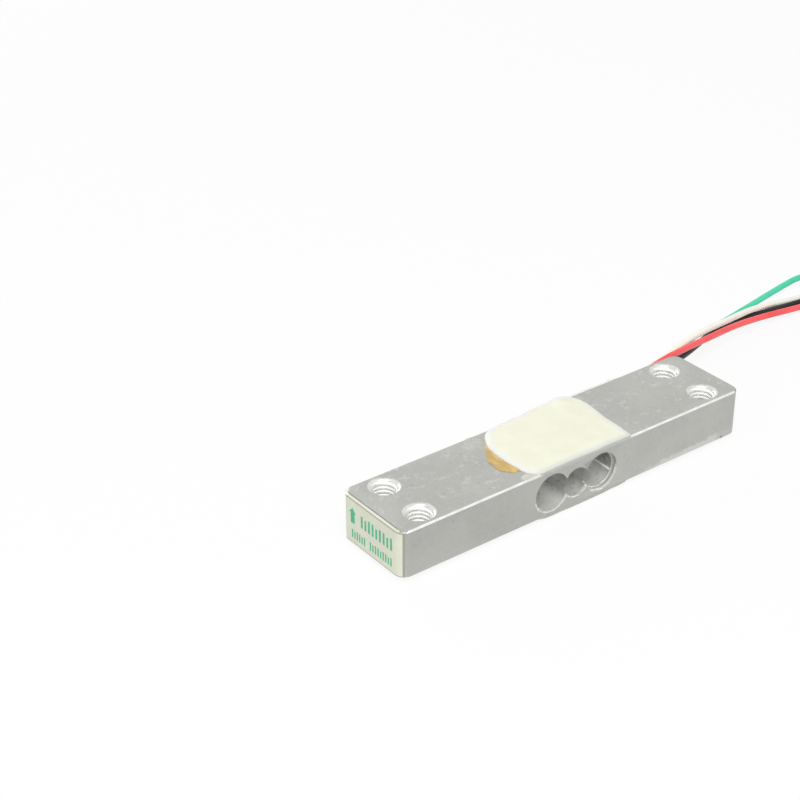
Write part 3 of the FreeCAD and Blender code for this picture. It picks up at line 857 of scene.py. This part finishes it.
def make_print():
    """A plain arrow and rows of plain bars, a little raised from the label."""
    outlines = [ARROW]
    for start_y, end_y, low_z, high_z, count in BAR_ROWS:
        pitch = (end_y - start_y) / count
        for i in range(count):
            y0 = start_y + pitch * (i + 0.5 - BAR_SHARE / 2)
            y1 = start_y + pitch * (i + 0.5 + BAR_SHARE / 2)
            dip = BAR_DIP * (high_z - low_z) if i % 3 == 1 else 0
            outlines.append([(y0, low_z), (y1, low_z), (y1, high_z - dip), (y0, high_z - dip)])
    depths = (LABEL_LOW.x + PRINT_SUNK, LABEL_LOW.x - PRINT_THICK)
    parts = [([(x, y, z) for x in depths for y, z in outline], tube_faces(1, len(outline)))
             for outline in outlines]
    mesh = recalculated(merged(parts, "label_print"))
    new_piece("label_print", mesh, (green_print(),))


# ---------------------------------------------------------------- wires

WIRE_R = 0.65
LEAD_START_X = 20.5  # the solder joints
LEAD_EXIT_X = 26.4  # the end of the silicone lobe
LEAD_Y = 10.0
COIL_X, COIL_Y = 122.0, 13.2
COIL_MIDDLE_R = 7.2
STRAND_PITCH = 1.32  # from one wire of the coil to the next
COIL_ORDER = ("red", "black", "white", "green")  # from the inside out
COIL_TURNS = {"red": 2.92, "black": 2.28, "white": 1.86, "green": 1.53}
TURN_POINTS = 16  # control points in one turn
# z of each wire in the lobe, and the control points between the lobe and the coil
LEAD_HEIGHTS = {"red": 8.2, "white": 6.6, "black": 5.05, "green": 3.5}
LEAD_ROUTES = {
    "red": [(33.0, 10.27, 7.63), (40.7, 12.37, 7.32), (48.8, 14.2, 6.42), (58.0, 16.2, 5.08),
            (67.0, 18.47, 3.72), (77.0, 18.98, 2.7), (89.5, 18.9, 1.12), (102.0, 18.6, 0.65)],
    "white": [(34.2, 12.15, 6.51), (43.0, 15.02, 5.25), (49.9, 17.31, 5.2), (57.5, 18.71, 5.27),
              (67.5, 20.64, 4.02), (79.0, 23.24, 2.47), (91.0, 22.81, 0.65), (104.0, 21.6, 0.65)],
    "black": [(36.5, 11.39, 5.1), (46.5, 14.03, 4.56), (54.0, 16.85, 3.69), (63.0, 20.62, 2.75),
              (71.5, 22.93, 1.55), (80.0, 22.26, 1.14), (91.0, 20.67, 1.14), (103.5, 20.0, 0.65)],
    "green": [(36.0, 12.21, 3.9), (47.0, 16.73, 3.88), (57.0, 20.0, 4.1), (66.0, 22.88, 1.93),
              (77.0, 26.05, 0.65), (88.0, 27.39, 1.37), (99.0, 27.36, 3.05), (109.5, 24.2, 0.65)],
}
TIP_LENGTH = 4.0
TIP_HIDDEN = 0.3  # this much of it lies inside the insulation
TIP_R = 0.3
TIP_TWIST = 1.1  # turns over the tip's length
TIP_TAPER = 0.25  # how much closer together the strands end
TIP_RINGS, TIP_FLATS = 16, 8
STRANDS = 7
STRAND_R = 0.11


def strand_radius(colour):
    """The radius of one wire's turns in the coil."""
    return COIL_MIDDLE_R + (COIL_ORDER.index(colour) - 1.5) * STRAND_PITCH


def coil_point(turns, radius):
    """A point of the coil: each turn lies on the one before and climbs near its end."""
    angle = math.pi / 2 - 2 * math.pi * turns
    level = math.floor(turns) + float(ramp(turns % 1, 0.55, 0.8))
    return (COIL_X + radius * math.cos(angle), COIL_Y + radius * math.sin(angle),
            WIRE_R + level * 2 * WIRE_R)


def wire_points(colour):
    """The wire's route from its solder joint to its bare tip."""
    height = LEAD_HEIGHTS[colour]
    strand_r = strand_radius(colour)
    outer_r = strand_radius(COIL_ORDER[-1]) + WIRE_R
    # where a straight wire at this strand's far side meets the outside of the coil
    entry_x = COIL_X - math.sqrt(outer_r ** 2 - strand_r ** 2)
    points = [(LEAD_START_X, LEAD_Y, height), (LEAD_EXIT_X, LEAD_Y + 0.05, height)]
    points += LEAD_ROUTES[colour]
    points.append((entry_x + WIRE_R, COIL_Y + strand_r, WIRE_R))
    # the spline runs inside its control points, so those of the turns stand a little further out
    control_r = strand_r / math.cos(math.pi / TURN_POINTS)
    for i in range(1, int(COIL_TURNS[colour] * TURN_POINTS)):
        points.append(coil_point((i - 0.5) / TURN_POINTS, control_r))
    points.append(coil_point(COIL_TURNS[colour], strand_r))
    return points


def make_wire(colour):
    """One lead wire as a cord along its route."""
    data = bpy.data.curves.new(f"{colour}_lead", "CURVE")
    data.dimensions = "3D"
    spline = data.splines.new("NURBS")
    points = wire_points(colour)
    spline.points.add(len(points) - 1)
    for point, place in zip(spline.points, points):
        point.co = (*mm(*place), 1)
        point.radius = WIRE_R * MM
    spline.order_u = 3
    spline.use_endpoint_u = True
    spline.resolution_u = 8
    data.bevel_depth = 1  # times the radius at each point
    data.bevel_resolution = 6
    data.use_fill_caps = True
    wire = bpy.data.objects.new(f"{colour}_lead", data)
    bpy.context.collection.objects.link(wire)
    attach(wire, "root")
    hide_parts(f"{colour}_wire", "wire_coil")
    data.materials.append(PVC[colour])
    make_tip(colour)


def make_tip(colour):
    """The tinned strands at a wire's stripped end, twisted together."""
    before, end = (Vector(place) for place in wire_points(colour)[-2:])
    run = (end - before).normalized()
    side = run.cross(Vector((0, 0, 1))).normalized()
    up = side.cross(run)

    def around(angle, radius):
        return (side * math.cos(angle) + up * math.sin(angle)) * radius

    parts = []
    for strand in range(STRANDS):
        points = []
        for ring in range(TIP_RINGS + 1):
            share = ring / TIP_RINGS
            turn = 2 * math.pi * (strand / STRANDS + TIP_TWIST * share)
            centre = end + run * (share * TIP_LENGTH - TIP_HIDDEN)
            centre += around(turn, (TIP_R - STRAND_R) * (1 - TIP_TAPER * share))
            points += [tuple(centre + around(a, STRAND_R)) for a in round_angles(TIP_FLATS)]
        parts.append((points, tube_faces(TIP_RINGS, TIP_FLATS)))
    mesh = recalculated(merged(parts, f"{colour}_tip"))
    mesh.shade_smooth()
    return new_piece(f"{colour}_tip", mesh, (TIN,))


make_bar()
for name in COIL_ORDER:
    make_wire(name)
make_silicone()
make_smears()
make_print()

# ---------------------------------------------------------------- studio

FLOOR_HALF = 3.0  # in metres, as all of the studio
FLOOR_GLOW = 0.88  # how much of the floor's look is plain white
WORLD_LIGHT = 0.5  # how bright the surroundings are for matt surfaces


def any_ray(tree, *kinds):
    """1 for rays of any of these kinds, and otherwise 0."""
    path = tree.nodes.new("ShaderNodeLightPath")
    either = path.outputs[kinds[0]]
    for kind in kinds[1:]:
        larger = tree.nodes.new("ShaderNodeMath")
        larger.operation = "MAXIMUM"
        tree.links.new(either, larger.inputs[0])
        tree.links.new(path.outputs[kind], larger.inputs[1])
        either = larger.outputs[0]
    return either


def floor_material():
    """A matt floor that the camera and reflections see as almost plain white."""
    material = bpy.data.materials.new("studio_floor")
    material.use_nodes = True
    tree = material.node_tree
    tree.nodes.clear()
    diffuse = tree.nodes.new("ShaderNodeBsdfDiffuse")
    diffuse.inputs["Color"].default_value = (0.9, 0.9, 0.9, 1)
    glow = tree.nodes.new("ShaderNodeEmission")
    glow.inputs["Color"].default_value = (1, 1, 1, 1)
    share = tree.nodes.new("ShaderNodeMath")
    share.operation = "MULTIPLY"
    share.inputs[1].default_value = FLOOR_GLOW
    mix = tree.nodes.new("ShaderNodeMixShader")
    out = tree.nodes.new("ShaderNodeOutputMaterial")
    link = tree.links.new
    link(any_ray(tree, "Is Camera Ray", "Is Glossy Ray"), share.inputs[0])
    link(share.outputs[0], mix.inputs["Fac"])
    link(diffuse.outputs[0], mix.inputs[1])
    link(glow.outputs[0], mix.inputs[2])
    link(mix.outputs[0], out.inputs["Surface"])
    return material


def add_floor():
    """A large floor under the load cell."""
    mesh = bpy.data.meshes.new("floor")
    low, high = -FLOOR_HALF, FLOOR_HALF
    mesh.from_pydata([(low, low, 0), (high, low, 0), (high, high, 0), (low, high, 0)], [], [(0, 1, 2, 3)])
    floor = bpy.data.objects.new("floor", mesh)
    floor.data.materials.append(floor_material())
    bpy.context.collection.objects.link(floor)


def add_world():
    """Even light all round, which the camera and reflections see as plain white."""
    world = bpy.data.worlds.new("studio")
    bpy.context.scene.world = world
    world.use_nodes = True
    tree = world.node_tree
    tree.nodes.clear()
    strength = tree.nodes.new("ShaderNodeMapRange")
    strength.inputs["To Min"].default_value = WORLD_LIGHT
    strength.inputs["To Max"].default_value = 1.0
    glow = tree.nodes.new("ShaderNodeBackground")
    glow.inputs["Color"].default_value = (1, 1, 1, 1)
    out = tree.nodes.new("ShaderNodeOutputWorld")
    link = tree.links.new
    link(any_ray(tree, "Is Camera Ray", "Is Glossy Ray", "Is Transmission Ray"), strength.inputs["Value"])
    link(strength.outputs[0], glow.inputs["Strength"])
    link(glow.outputs[0], out.inputs["Surface"])


def add_lamp(name, place, size, power):
    """A square lamp that shines at the origin."""
    data = bpy.data.lights.new(name, "AREA")
    data.shape = "SQUARE"
    data.size = size
    data.energy = power
    lamp = bpy.data.objects.new(name, data)
    bpy.context.collection.objects.link(lamp)
    lamp.location = place
    lamp.rotation_euler = (-Vector(place)).to_track_quat("-Z", "Y").to_euler()


add_floor()
add_world()
add_lamp("softbox", (-0.35, -0.45, 0.75), size=0.5, power=6.0)
add_lamp("fill", (0.0, 0.7, 0.12), size=0.4, power=1.6)

bpy.context.scene.view_settings.view_transform = "Standard"

bpy.context.view_layer.update()
